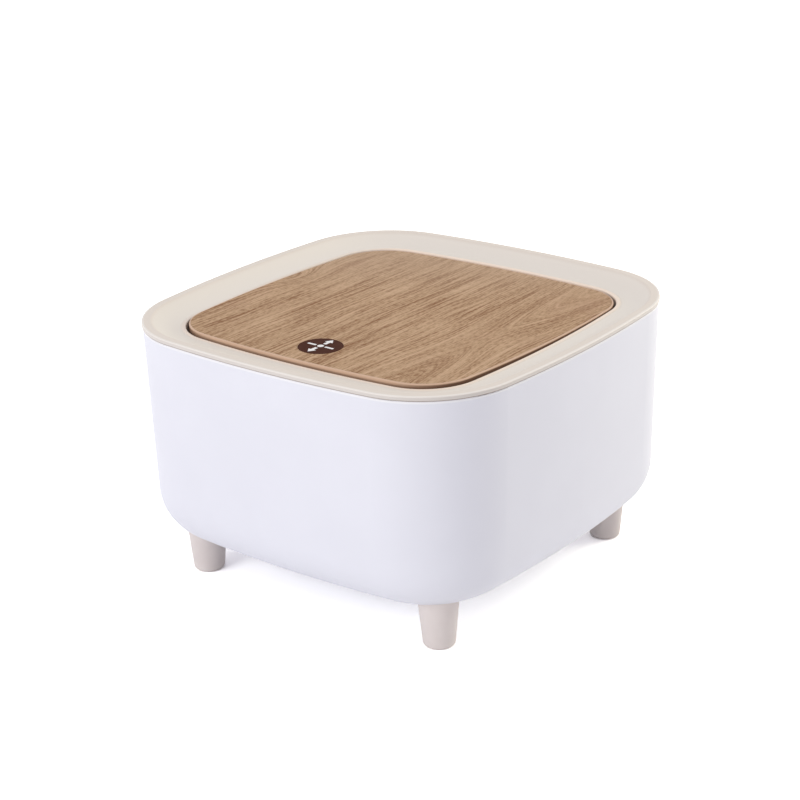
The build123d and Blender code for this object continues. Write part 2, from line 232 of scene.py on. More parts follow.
class Tree(Sheet):
    """A Geometry Nodes tree whose inputs are places, a material and a settings group's sizes."""

    def __init__(self, name, sizes, material):
        super().__init__(bpy.data.node_groups.new(name, "GeometryNodeTree"))
        self.name = name
        sockets = self.tree.interface
        sockets.new_socket("Geometry", in_out="OUTPUT", socket_type="NodeSocketGeometry")
        places = sockets.new_socket("Places", in_out="INPUT", socket_type="NodeSocketGeometry")
        paint = sockets.new_socket("Material", in_out="INPUT", socket_type="NodeSocketMaterial")
        self.values = {paint.identifier: material}
        labels = {key: sizes.bl_rna.properties[key].name for key in type(sizes).__annotations__}
        for key, label in labels.items():
            socket = sockets.new_socket(label, in_out="INPUT", socket_type="NodeSocketFloat")
            self.values[socket.identifier] = getattr(sizes, key)
        outputs = self.tree.nodes.new("NodeGroupInput").outputs
        self.places, self.paint = (Wire(self, outputs[socket.name]) for socket in (places, paint))
        self.size = SimpleNamespace(**{key: Wire(self, outputs[label])
                                       for key, label in labels.items()})

    def choose(self, kind, values):
        """The value that belongs to each point's place in a row of values."""
        index = self.add("GeometryNodeInputIndex")
        return self.add("GeometryNodeIndexSwitch", {"data_type": kind, "items": len(values)},
                        [index, *values])

    def outline(self, corners, closed=True):
        """A section through corners, each across, up and, where it is round, its radius.

        Its second axis points down, which is how Curve to Mesh lays it on a level path.
        """
        loop = self.add("GeometryNodeCurvePrimitiveCircle", {}, {"Resolution": len(corners)})
        places = [self.vector(corner[0], corner[1] * -1, 0.0) for corner in corners]
        loop = self.add("GeometryNodeSetPosition", {},
                        {"Geometry": loop, "Position": self.choose("VECTOR", places)})
        loop = self.add("GeometryNodeSetSplineCyclic", {}, {"Geometry": loop, "Cyclic": closed})
        radius = self.choose("FLOAT", [(*corner, 0.0)[2] for corner in corners])
        return self.add(
            "GeometryNodeFilletCurve", {"mode": "POLY"},
            {"Curve": loop, "Count": ROUND_STEPS, "Radius": radius, "Limit Radius": True})

    def sweep(self, section, path, caps=False):
        """A section carried upright along a path."""
        path = self.add("GeometryNodeSetCurveNormal", {"mode": "Z_UP"}, [path])
        solid = self.add("GeometryNodeCurveToMesh", {},
                         {"Curve": path, "Profile Curve": section, "Fill Caps": caps})
        solid = self.add("GeometryNodeFlipFaces", {}, [solid])
        return self.add("GeometryNodeMergeByDistance", {}, {"Geometry": solid, "Distance": MERGE})

    def bar(self, section, axis, start, end):
        """A section carried along one axis and closed at both ends."""
        ends = [self.vector(*(reach if axis == each else 0.0 for each in "XYZ"))
                for reach in (start, end)]
        line = self.add("GeometryNodeCurvePrimitiveLine", {}, {"Start": ends[0], "End": ends[1]})
        return self.sweep(section, line, True)

    def lathe(self, section):
        """An open section turned about Z."""
        section = self.move(section, Translation=(-LATHE_REACH, 0.0, 0.0))
        guide = self.add("GeometryNodeCurvePrimitiveCircle", {},
                         {"Resolution": LATHE_STEPS, "Radius": LATHE_REACH})
        return self.sweep(section, guide)

    def move(self, solid, **how):
        """A solid with a Translation or a Rotation."""
        return self.add("GeometryNodeTransform", {}, {"Geometry": solid, **how})

    def block(self, sides, middle):
        """A box from its three sides and its middle."""
        return self.move(self.add("GeometryNodeMeshCube", {}, {"Size": sides}), Translation=middle)

    def cut(self, solid, *tools):
        return self.add("GeometryNodeMeshBoolean", {"operation": "DIFFERENCE", "solver": "EXACT"},
                        {"Mesh 1": solid, "Mesh 2": list(tools)})

    def fuse(self, *solids):
        return self.add("GeometryNodeMeshBoolean", {"operation": "UNION", "solver": "EXACT"},
                        {"Mesh 2": list(solids)})

    def join(self, *solids):
        return self.add("GeometryNodeJoinGeometry", {}, {"Geometry": list(solids)})

    def turn(self, solid, angle):
        """A solid turned about Z."""
        return self.move(solid, Rotation=(0.0, 0.0, angle))

    def finish(self, solid):
        """Ends the tree in real faces, smooth between crisp edges, with their material."""
        solid = self.add("GeometryNodeRealizeInstances", {}, [solid])
        solid = self.add("GeometryNodeSetShadeSmooth", {"domain": "FACE"},
                         {"Geometry": solid, "Shade Smooth": True})
        angle = self.add("GeometryNodeInputMeshEdgeAngle")
        crisp = angle.math("GREATER_THAN", CRISP_ANGLE)
        solid = self.add("GeometryNodeSetShadeSmooth", {"domain": "EDGE"},
                         {"Geometry": solid, "Selection": crisp, "Shade Smooth": False})
        solid = self.add("GeometryNodeSetMaterial", {},
                         {"Geometry": solid, "Material": self.paint})
        result = self.tree.nodes.new("NodeGroupOutput")
        self.tree.links.new(solid.socket, result.inputs[0])

    def grow(self, places=((0.0, 0.0, 0.0),)):
        """Runs the tree on some places and keeps the result as a plain piece."""
        mesh = bpy.data.meshes.new(self.name)
        mesh.from_pydata(places, [], [])
        piece = link(mesh, self.name)
        modifier = piece.modifiers.new(self.name, "NODES")
        modifier.node_group = self.tree
        for identifier, value in self.values.items():
            modifier[identifier] = value
        depsgraph = bpy.context.evaluated_depsgraph_get()
        grown = piece.evaluated_get(depsgraph)
        grown = bpy.data.meshes.new_from_object(grown, depsgraph=depsgraph)
        piece.modifiers.remove(modifier)
        piece.data = grown
        return piece


def corner_centre(size):
    """How far a corner's middle lies from both axes of the plan, where its arc meets the bows."""
    reach = size.bow_radius - size.corner_radius
    offset = size.bow_radius - size.half_width
    return ((reach * reach * 2.0 - offset * offset) ** 0.5 - offset) / 2


# ---- finishes ----

CLOUD_EDGES = (0.3, 0.7)        # levels of a noise between which a flow cloud fades in

# where a band of painted light or shade starts and is full, in millimetres
# painted shade of the gap on the lid's shell under its rim
FLANK_SIDE = (45.0, 76.0)       # from the middle to the lid's pivot sides
FLANK_UNDER = (0.25, 0.9)       # below the lid's top, on the pivot sides
FRONT_UNDER = (0.9, 1.8)        # below the lid's top, at the front and back
TUB_RIM_HIGHLIGHT = (-1.5, -0.7)          # above the tub's rim, where its painted highlight fades in
# bands of painted light and shade on the ring: paler dish, lip and edge highlights, face shade,
# foot shadow
DISH_START, DISH_STOP = (4.0, 6.0), (18.0, 17.0)    # in from the ring's outer plan
LIP_START = (17.7, 18.5)
LIP_HEIGHT = (-4.5, -2.3)       # above the tub's rim
LIP_LEFT = (-78.0, -60.0)       # across the bin, where the lip's painted highlight is weaker, painted as shaded
OUTSIDE = (2.0, 1.0)            # in from the ring's outer plan
EDGE_WIDTH = (1.4, 0.6)
EDGE_HEIGHT = (1.5, 2.1)        # above the tub's rim
FACE_HEIGHT = (2.1, 1.5)
FOOT_HEIGHT = (0.55, 0.25)

FRONT_SHARE = 0.6               # strength of the painted gap shade at the lid's front and back
LIP_SHARE = 0.25                # strength of the lip's painted highlight at the left, where it is painted as shaded

# the wood grain's streaks: width and length in millimetres, and the seed of their noise
SWAY, WAVE = (45, 120, 3.7), (9, 38, 8.1)
BROAD, MIDDLE, FINE = (9, 170, 0.0), (2.4, 90, 5.0), (1.1, 34, 9.0)
FIBRE, BLUSH, PORE = (0.5, 3, 2.0), (26, 34, 6.0), (0.35, 9, 7.0)
SWAY_REACH, WAVE_REACH = 9, 1.6     # millimetres by which they push a line aside
FIGURE_WIDTH, FIGURE_CORE, FIGURE_WAIST = 17, 2, 9      # millimetres
FIGURE_PULL, FIGURE_CALM = 0.27, 0.4    # how far it bends the lines and evens them out
KNOT_WIDTH, KNOT_LENGTH, KNOT_PULL = 7, 17, 11          # millimetres
ROUGH = 0.6                     # roughness of the noise in the fine streaks
DARK_STOP, MIDDLE_STOP, LIGHT_STOP = 0.2, 0.52, 0.8     # of the grain's tone
HAZE_REACH, HAZE_SLANT, HAZE_SHARE = (10.0, 110.0), 0.5, 0.45   # towards the far corner
BLUSH_EDGES, BLUSH_SIDE, BLUSH_SHARE = (0.5, 0.72), (35.0, 75.0), 0.35
PORE_EDGES, PORE_LINES, PORE_DEPTH = (0.6, 0.68), (0.62, 0.42), 0.6
WOOD_DULLNESS, WOOD_CHANGE, WOOD_SHINE, WOOD_DEPTH = 0.6, 0.12, 0.25, 0.03

# textures: sizes and depths in millimetres, roughness and how far the texture changes it
SCRATCH_SIZE, SCRATCH_DEPTH, PATCH_SIZE = 0.35, 0.004, 4.0
STEEL_DULLNESS, STEEL_CHANGE = 0.26, 0.14
GRIT_SIZE, GRIT_DEPTH, RUBBER_DULLNESS, RUBBER_CHANGE = 0.2, 0.01, 0.75, 0.15
INK_SIZE, INK_DEPTH, INK_DULLNESS, INK_CHANGE, INK_SHADE = 0.5, 0.005, 0.45, 0.1, 0.93


def moulded_plastic(name, look, overlay=None):
    """Moulded plastic: fine cavity texture, faint flow clouds in tone and gloss."""
    finish = Finish(name)
    cloud = finish.speckle(look.cloud_size / MM, 3.0)
    texture = finish.speckle(look.texture_size / MM)
    tone = finish.mix(finish.step(cloud, *CLOUD_EDGES), look.shade, look.colour)
    if overlay:
        tone = overlay(finish, tone)
    return finish.surface({
        "Base Color": tone,
        "Roughness": look.roughness + (texture - 0.5) * look.gloss_change,
        "Specular IOR Level": look.shine,
        "Normal": finish.bump(texture, look.texture_depth / MM),
    })


def lid_flank_painted_shade(finish, tone):
    """Painted shade of the gap round the lid: under its pale rim the lid's shell is painted brown,
    deepest on its two pivot sides.
    """
    across, along, up = finish.axes()
    rise = (up - PIVOT.z / MM) * cos(REST_TILT) - along * sin(REST_TILT)
    depth = LID_RISE / MM - rise
    side = finish.step(across.math("ABSOLUTE"), *FLANK_SIDE)
    front = finish.step(depth, *FRONT_UNDER) * (1 - side) * FRONT_SHARE
    # share of the painted gap shade
    under = finish.step(depth, *FLANK_UNDER) * side + front
    return finish.mix(under, tone, settings().look.lid_flank)


def tub_rim(finish, tone):
    """Painted highlight: the tub is a little paler along its rim, where its rounded top catches
    the light.
    """
    _, _, up = finish.axes()
    fade = [settings().ring_form.rim_height / MM + height for height in TUB_RIM_HIGHLIGHT]
    return finish.mix(finish.step(up, *fade), tone, settings().look.tub_rim)


def plan_inset(finish):
    """How far in from the ring's outer plan a place lies, in millimetres."""
    form = settings().ring_form
    bow, corner, centre = form.bow_radius / MM, form.corner_radius / MM, corner_centre(form) / MM
    back = bow - form.half_width / MM
    across, along, _ = [value.math("ABSOLUTE") for value in finish.axes()]
    far, near = across.math("MAXIMUM", along), across.math("MINIMUM", along)
    on_bow = near.math("LESS_THAN", (far + back) * (centre / (back + centre)))
    bow_inset = bow - ((far + back) ** 2.0 + near ** 2.0) ** 0.5
    corner_inset = corner - ((far - centre) ** 2.0 + (near - centre) ** 2.0) ** 0.5
    return corner_inset + (bow_inset - corner_inset) * on_bow


def ring_painted_light(finish, tone):
    """Painted light and shade on the ring by place: a paler dish, a highlight along the crest
    edge, a warm highlight on the lip, shade on the outer face and a shadow at the foot.
    """
    look = settings().look
    inset = plan_inset(finish)
    across, _, up = finish.axes()
    height = up - settings().ring_form.rim_height / MM
    # painted light: the dish is paler than the crest, as it catches more light
    dish = finish.step(inset, *DISH_START) * finish.step(inset, *DISH_STOP)
    # painted highlight along the lip, weaker at the left as if shaded
    strength = LIP_SHARE + finish.step(across, *LIP_LEFT) * (1 - LIP_SHARE)
    lip = finish.step(inset, *LIP_START) * finish.step(height, *LIP_HEIGHT) * strength
    outside = finish.step(inset, *OUTSIDE)
    # painted highlight on the rounded top of the outer edge
    edge = outside * finish.step(inset, *EDGE_WIDTH) * finish.step(height, *EDGE_HEIGHT)
    # painted shade on the upright outer face
    face = outside * finish.step(height, *FACE_HEIGHT)
    # painted shadow in the seam where the ring meets the tub
    foot = outside * finish.step(height, *FOOT_HEIGHT)
    bands = ((dish, look.ring_dish), (lip, look.ring_lip), (edge, look.ring_edge),
             (face, look.ring_face), (foot, look.ring_foot))
    for share, colour in bands:
        tone = finish.mix(share, tone, colour)
    return tone


def wood_grain(look):
    """Printed wood: fine lines, broad bands, an hourglass figure and an edge knot."""
    finish = Finish("wood_grain")
    across, along, _ = finish.axes()
    sway = finish.streaks(across, along, SWAY) - 0.5
    wave = finish.streaks(across, along, WAVE) - 0.5
    column = across + sway * SWAY_REACH + wave * WAVE_REACH

    figure = column - look.figure_x / MM
    spread = (figure * figure * (-1 / FIGURE_WIDTH ** 2)).math("EXPONENT")
    waist = ((along - look.figure_y / MM) ** 2.0 + FIGURE_WAIST ** 2) ** 0.5
    line = (figure * figure + FIGURE_CORE ** 2) ** 0.5 - waist * spread * FIGURE_PULL

    knot, knot_along = column - look.knot_x / MM, along - look.knot_y / MM
    swirl = (knot * knot * (-1 / KNOT_WIDTH ** 2)
             + knot_along * knot_along * (-1 / KNOT_LENGTH ** 2)).math("EXPONENT")
    line = line + swirl * KNOT_PULL

    broad = finish.streaks(line, along, BROAD)
    middle = finish.streaks(line, along, MIDDLE, roughness=ROUGH)
    fine = finish.streaks(line, along, FINE, roughness=ROUGH)
    fibre = finish.streaks(column, along, FIBRE, 1.0)
    calm = 1 - spread * FIGURE_CALM
    tone = ((broad - 0.5) * look.grain_bands + (middle - 0.5) * calm * look.grain_rows
            + (fine - 0.5) * calm * look.grain_lines + (fibre - 0.5) * look.grain_fibres + 0.5)
    colour = finish.add("ShaderNodeValToRGB", {"stops": [
        (DARK_STOP, look.grain_dark), (MIDDLE_STOP, look.grain), (LIGHT_STOP, look.grain_light)]},
        [tone])

    far_corner = finish.step(along - across * HAZE_SLANT, *HAZE_REACH)
    colour = finish.mix(far_corner * HAZE_SHARE, colour, look.grain_haze)
    blush = finish.step(finish.streaks(across, along, BLUSH, 1.0), *BLUSH_EDGES)
    side = finish.step(across.math("ABSOLUTE"), *BLUSH_SIDE)
    colour = finish.mix(blush * side * BLUSH_SHARE, colour, look.grain_blush)
    pore = finish.streaks(column, along, PORE, 1.0)
    pore = finish.step(pore, *PORE_EDGES) * finish.step(fine, *PORE_LINES)
    colour = finish.mix(pore * look.pore_share, colour, look.grain_pore)
    return finish.surface({
        "Base Color": colour,
        "Roughness": WOOD_DULLNESS + (0.5 - tone) * WOOD_CHANGE,
        "Specular IOR Level": WOOD_SHINE,
        "Normal": finish.bump(tone - pore * PORE_DEPTH, WOOD_DEPTH),
    })


def brushed_steel(name, look):
    """Zinc plated steel with fine scratches."""
    finish = Finish(name)
    scratch = finish.speckle(SCRATCH_SIZE, 4.0)
    tone = finish.mix(finish.speckle(PATCH_SIZE), look.steel_shade, look.steel)
    return finish.surface({
        "Base Color": tone,
        "Metallic": 1.0,
        "Roughness": STEEL_DULLNESS + scratch * STEEL_CHANGE,
        "Normal": finish.bump(scratch, SCRATCH_DEPTH),
    })


def soft_rubber(name, look):
    """Matt rubber with a fine dull texture."""
    finish = Finish(name)
    grit = finish.speckle(GRIT_SIZE, 3.0)
    return finish.surface({
        "Base Color": finish.mix(grit, look.rubber_shade, look.rubber),
        "Roughness": RUBBER_DULLNESS + grit * RUBBER_CHANGE,
        "Normal": finish.bump(grit, GRIT_DEPTH),
    })


def printed_ink(name, colour):
    """Thin white ink: a little uneven, with a soft gloss."""
    finish = Finish(name)
    patch = finish.speckle(INK_SIZE)
    shade = tuple(level * INK_SHADE for level in colour)
    return finish.surface({
        "Base Color": finish.mix(patch, shade, colour),
        "Roughness": INK_DULLNESS + patch * INK_CHANGE,
        "Normal": finish.bump(patch, INK_DEPTH),
    })


# ---- grown pieces ----

# a pan-head screw's parts, as shares of its diameter
TIP, HEAD_RADIUS, HEAD_HEIGHT, HEAD_ROUND = 0.2, 0.95, 0.6, 0.24
SLOT_WIDTH, SLOT_LENGTH, SLOT_BLOCK = 0.2, 1.045, 0.66
SLOT_FLOOR = 0.45               # share of the head's height


def plan_path(tree):
    """The ring's outer plan: four bowed sides joined by round corners, as one closed path."""
    size = tree.size
    steps = BOW_STEPS + CORNER_STEPS
    centre = corner_centre(size)
    bow_centre = size.half_width - size.bow_radius
    join = centre.math("ARCTAN2", centre - bow_centre)
    index = tree.add("GeometryNodeInputIndex")
    quarter = ((index + 0.5) / steps).math("FLOOR")
    step = index - quarter * steps
    on_bow = step.math("LESS_THAN", BOW_STEPS - 0.5)

    def pick(bow, corner):
        return (bow - corner) * on_bow + corner

    angle = pick(join * (step * (2 / BOW_STEPS) - 1),
                 join + (pi / 2 - join * 2) * (step - BOW_STEPS) / CORNER_STEPS)
    radius = pick(size.bow_radius, size.corner_radius)
    x = pick(bow_centre, centre) + radius * angle.math("COSINE")
    y = centre * (1 - on_bow) + radius * angle.math("SINE")
    turn = quarter * (pi / 2)
    cosine, sine = turn.math("COSINE"), turn.math("SINE")
    place = tree.vector(x * cosine - y * sine, x * sine + y * cosine, 0.0)
    loop = tree.add("GeometryNodeCurvePrimitiveCircle", {}, {"Resolution": 4 * steps})
    return tree.add("GeometryNodeSetPosition", {}, {"Geometry": loop, "Position": place})


def ring_tree(sizes, material):
    """The top ring: one section swept round the plan, with the pivot bearings under its dish."""
    tree = Tree("ring_shell", sizes, material)
    size = tree.size
    crest = size.rim_height + size.edge_height
    lip = crest - size.lip_drop
    dish = lip - size.bead_height
    throat = lip - size.throat_height
    skirt = size.rim_height - size.skirt_depth
    dish_end = size.lip_width - size.bead_width
    throat_outer = size.lip_width - size.wall
    skirt_inner = size.skirt_inset + size.wall
    run, drop = dish_end - size.crest_width, crest - dish
    arc = (run * run + drop * drop) / (drop * 2)

    def at(inset, height, *radius):
        return inset * -1, height, *radius

    def dish_height(inset, below):
        across, radius = dish_end - inset, arc + below
        return dish + arc - (radius * radius - across * across) ** 0.5

    def dish_run(first, last, below):
        insets = [first + (last - first) * (step / DISH_STEPS) for step in range(1, DISH_STEPS)]
        return [at(inset, dish_height(inset, below)) for inset in insets]

    section = tree.outline([
        at(0.0, size.rim_height, size.foot_round), at(0.0, crest, size.edge_round),
        at(size.crest_width, crest, size.crest_round), *dish_run(size.crest_width, dish_end, 0.0),
        at(dish_end, dish), at(dish_end + size.bead_ramp, lip, size.bead_round),
        at(size.lip_width, lip, size.lip_round), at(size.lip_width, throat, size.throat_round),
        at(throat_outer, throat), at(throat_outer, dish - size.wall),
        at(dish_end, dish - size.wall), *dish_run(dish_end, skirt_inner, size.wall),
        at(skirt_inner, dish_height(skirt_inner, size.wall)),
        at(skirt_inner, skirt + size.lead), at(skirt_inner - size.lead, skirt),
        at(size.skirt_inset + size.lead, skirt), at(size.skirt_inset, skirt + size.lead),
        at(size.skirt_inset, size.rim_height),
    ])
    ring = tree.sweep(section, plan_path(tree))

    throat_x = size.half_width - size.lip_width
    half_wall = size.wall / 2
    inner_x = throat_x + half_wall
    outer_x = throat_x + size.wall + size.bearing_length
    high_z = dish_height(size.half_width - outer_x, half_wall)
    bearing = tree.outline([(inner_x, throat), (outer_x, throat),
                            (outer_x, high_z), (inner_x, dish - half_wall)])
    stop_end, stop_far = outer_x + size.stop_reach, size.stop_offset + size.stop_width
    stop = tree.outline([(outer_x - half_wall, size.stop_height), (stop_end, size.stop_height),
                         (stop_end, high_z), (outer_x - half_wall, high_z)])
    bore = size.bore_radius
    bore_top = size.pivot_height + bore
    slot = tree.outline([(bore * -1, throat - bore), (bore, throat - bore),
                         (bore, bore_top, bore), (bore * -1, bore_top, bore)])
    solids, tools = [ring], []
    for angle in (0.0, pi):
        parts = [tree.bar(bearing, "Y", size.bearing_width * -0.5, size.bearing_width * 0.5),
                 tree.bar(stop, "Y", size.stop_offset, stop_far),
                 tree.bar(stop, "Y", stop_far * -1, size.stop_offset * -1)]
        solids += [tree.turn(part, angle) for part in parts]
        hole = tree.bar(slot, "X", throat_x - half_wall, outer_x + half_wall)
        tools.append(tree.turn(hole, angle))
    tree.finish(tree.cut(tree.fuse(*solids), *tools))
    return tree


def screw_tree(name, sizes, material):
    """Pan-head screws with a cross recess and a cut thread, one on each place."""
    tree = Tree(name, sizes, material)
    size = tree.size
    half = size.diameter / 2
    tip, head, top, rounding, slot, long, depth = (
        size.diameter * share for share in (TIP, HEAD_RADIUS, HEAD_HEIGHT, HEAD_ROUND,
                                            SLOT_WIDTH, SLOT_LENGTH, SLOT_BLOCK))
    body = tree.lathe(tree.outline([
        (0.0, size.length * -1), (half - tip, size.length * -1), (half, tip - size.length),
        (half, 0.0), (head, 0.0), (head, top, rounding), (0.0, top)], closed=False))
    middle = tree.vector(0.0, 0.0, top * SLOT_FLOOR + depth / 2)
    body = tree.cut(body, tree.block(tree.vector(long, slot, depth), middle),
                    tree.block(tree.vector(slot, long, depth), middle))
    ridge = size.thread_depth
    ridge = tree.outline([(ridge * -1, ridge * -1), (ridge, 0.0), (ridge * -1, ridge)])
    coil = tree.add("GeometryNodeCurveSpiral", {}, {
        "Resolution": THREAD_STEPS, "Rotations": size.thread_length / size.pitch,
        "Start Radius": half, "End Radius": half, "Height": size.thread_length})
    coil = tree.move(coil, Translation=tree.vector(0.0, 0.0, tip * 2 - size.length))
    screw = tree.join(body, tree.sweep(ridge, coil, True))
    tree.finish(tree.add("GeometryNodeInstanceOnPoints", {}, {
        "Points": tree.places, "Instance": screw, "Rotation": tree.vector(size.turn, 0.0, 0.0)}))
    return tree


# ---- settings ----

def a_colour(name, description, default):
    return FloatVectorProperty(name=name, description=description, default=default,
                               subtype="COLOR", size=3, min=0.0, max=1.0)


def a_share(name, description, default):
    return FloatProperty(name=name, description=description, default=default,
                         subtype="FACTOR", min=0.0, max=1.0)


def a_number(name, description, default):
    return FloatProperty(name=name, description=description, default=default)


def a_length(name, description, millimetres):
    return FloatProperty(name=name, description=description, default=millimetres * MM,
                         subtype="DISTANCE", unit="LENGTH", precision=5)


def a_group(kind, name, description):
    return PointerProperty(type=kind, name=name, description=description)


class BinPlastic(PropertyGroup):
    """A moulded plastic of the bin."""

    colour: a_colour("Colour", "Main colour of the plastic", srgb(232, 232, 242))
    shade: a_colour("Shade", "Slightly deeper colour in the flow clouds", srgb(230, 230, 240))
    roughness: a_share("Roughness", "Dullness of the surface", 0.5)
    gloss_change: a_share("Gloss change", "How far the texture changes the roughness", 0.1)
    shine: a_share("Shine", "Strength of the reflections; 0.5 is ordinary plastic", 0.2)
    texture_size: a_length("Texture size", "Width of the texture's grains", 0.5)
    texture_depth: a_length("Texture depth", "Depth of the texture", 0.006)
    cloud_size: a_length("Cloud size", "Width of the flow clouds", 40.0)


class BinLook(PropertyGroup):
    """Colours and places of the bin's other finishes, and colours of painted light and shade on
    the tub, ring and lid.
    """

    grain: a_colour("Grain", "Middle tone of the wood grain", srgb(188, 153, 118))
    grain_dark: a_colour("Grain dark", "Dark lines of the wood grain", srgb(137, 94, 58))
    grain_light: a_colour("Grain light", "Light bands of the wood grain", srgb(207, 172, 138))
    grain_pore: a_colour("Grain pores", "Short dark pores", srgb(122, 85, 52))
    grain_haze: a_colour("Grain haze", "Paler wood towards the rear left", srgb(200, 172, 146))
    grain_blush: a_colour("Grain blush", "Reddish patches towards the sides", srgb(166, 124, 98))
    grain_bands: a_number("Grain bands", "Contrast of the broad bands", 0.6)
    grain_rows: a_number("Grain rows", "Contrast of the rows between the bands", 0.85)
    grain_lines: a_number("Grain lines", "Contrast of the narrow lines", 1.4)
    grain_fibres: a_number("Grain fibres", "Contrast of the short fibres", 0.9)
    pore_share: a_share("Pore share", "Strength of the pores", 0.5)
    figure_x: a_length("Figure X", "Hourglass figure, right of the middle", 55.0)
    figure_y: a_length("Figure Y", "Waist of the figure, behind the middle", -9.0)
    knot_x: a_length("Knot X", "Edge knot, right of the middle", -74.0)
    knot_y: a_length("Knot Y", "Edge knot, behind the middle", 12.0)
    steel: a_colour("Steel", "Bright tone of the plated steel", (0.62, 0.62, 0.63))
    steel_shade: a_colour("Steel shade", "Dull tone of the plated steel", (0.5, 0.5, 0.51))
    rubber: a_colour("Rubber", "Main colour of the seals", (0.06, 0.06, 0.06))
    rubber_shade: a_colour("Rubber shade", "Deep colour of the seals", (0.035, 0.035, 0.035))
    # painted shade: the gap's shadow on the lid's shell under its rim
    lid_flank: a_colour("Lid flank", "Lid shell under its rim", srgb(120, 92, 74))
    # painted highlight along the tub's rim
    tub_rim: a_colour("Tub rim", "Tub along its rim", srgb(244, 243, 248))
    # painted light: the dish paler than the crest
    ring_dish: a_colour("Ring dish", "Ring between its crest and its lip", (0.88, 0.82, 0.75))
    # painted highlight along the lip
    ring_lip: a_colour("Ring lip", "Ring along the lid opening", (0.98, 0.84, 0.72))
    # painted highlight along the top of the outer edge
    ring_edge: a_colour("Ring edge", "Ring along the top of its outer edge", (0.93, 0.88, 0.83))
    # painted shade on the ring's outer face
    ring_face: a_colour("Ring face", "Outer face of the ring", (0.68, 0.63, 0.6))
    # painted shadow at the ring's foot, in the seam over the tub
    ring_foot: a_colour("Ring foot", "Ring where it meets the tub", srgb(150, 136, 130))
    ink: a_colour("Ink", "White print on the badge", srgb(254, 252, 252))


class BinRing(PropertyGroup):
    """Sizes of the top ring's section, plan and bearings."""

    half_width: a_length("Half width", "Middle of the bin to the middle of a side", 100.0)
    bow_radius: a_length("Bow radius", "Radius of each side's bow in plan", 577.0)
    corner_radius: a_length("Corner radius", "Radius of the corners in plan", 46.2)
    rim_height: a_length("Rim height", "Worktop to the tub's rim, which carries the ring", 122.2)
    edge_height: a_length("Edge height", "Rim to the crest", 2.2)
    foot_round: a_length("Foot round", "Rounding under the edge", 0.4)
    edge_round: a_length("Edge round", "Rounding over the edge", 0.6)
    crest_width: a_length("Crest width", "Width of the flat crest", 4.2)
    crest_round: a_length("Crest round", "Rounding from the crest into the dish", 0.4)
    lip_width: a_length("Lip width", "Edge to the lid opening", 19.9)
    lip_drop: a_length("Lip drop", "Crest down to the lip", 4.1)
    lip_round: a_length("Lip round", "Rounding of the lip into the opening", 0.6)
    bead_width: a_length("Bead width", "Width of the raised bead round the opening", 2.3)
    bead_ramp: a_length("Bead ramp", "Width of the slope up to the bead", 0.8)
    bead_height: a_length("Bead height", "Bead above the lowest part of the dish", 0.4)
    bead_round: a_length("Bead round", "Rounding at the top of the slope", 0.35)
    throat_height: a_length("Throat height", "Wall round the opening, down from the lip", 9.6)
    throat_round: a_length("Throat round", "Rounding under the throat wall", 0.35)
    wall: a_length("Wall", "Thickness of the ring's walls", 1.8)
    skirt_inset: a_length("Skirt inset", "Edge to the outside of the skirt", 3.1)
    skirt_depth: a_length("Skirt depth", "Rim down to the skirt's end", 13.4)
    lead: a_length("Lead", "Chamfers at the skirt's end", 0.6)
    bearing_length: a_length("Bearing length", "Block behind the throat wall", 8.4)
    bearing_width: a_length("Bearing width", "Width of the block", 18.0)
    bore_radius: a_length("Bore radius", "Radius of the pivot's bore", 2.05)
    pivot_height: a_length("Pivot height", "Worktop to the pivot's axis", 116.0)
    stop_reach: a_length("Stop reach", "Stop shoulders, out from the block", 2.0)
    stop_offset: a_length("Stop offset", "Middle to the inner face of a shoulder", 5.0)
    stop_width: a_length("Stop width", "Width of a stop shoulder", 3.5)
    stop_height: a_length("Stop height", "Worktop to the underside of a shoulder", 116.761)


class BinScrew(PropertyGroup):
    """Sizes of one kind of screw."""

    diameter: a_length("Diameter", "Shank diameter", 4.0)
    length: a_length("Length", "Length under the head", 19.7)
    thread_length: a_length("Thread length", "Length of the cut thread", 12.0)
    thread_depth: a_length("Thread depth", "Height of the thread's ridge", 0.25)
    pitch: a_length("Pitch", "Rise of the thread in one turn", 1.4)
    turn: FloatProperty(name="Turn", description="Turn about X of a head that would face up",
                        default=0.0, subtype="ANGLE")


class BinMarks(PropertyGroup):
    """Sizes of the print on the badge."""

    tip: a_length("Tip", "Middle of the badge to an arrow's tip", 8.8)
    start: a_length("Start", "Middle of the badge to an arrow's other end", 2.7)
    head_length: a_length("Head length", "Length of an arrow's head", 3.2)
    head_width: a_length("Head width", "Width of an arrow's head", 4.3)
    shaft_width: a_length("Shaft width", "Width of an arrow's shaft", 1.7)
    spot: a_length("Spot", "Diameter of the push spot", 3.0)
    bar_start: a_length("Bar start", "Middle of the badge to the bars beside the spot", 2.5)
    bar_length: a_length("Bar length", "Length of a bar", 4.6)
    bar_width: a_length("Bar width", "Width of a bar", 1.3)
    thickness: a_length("Thickness", "Thickness of the print", 0.08)


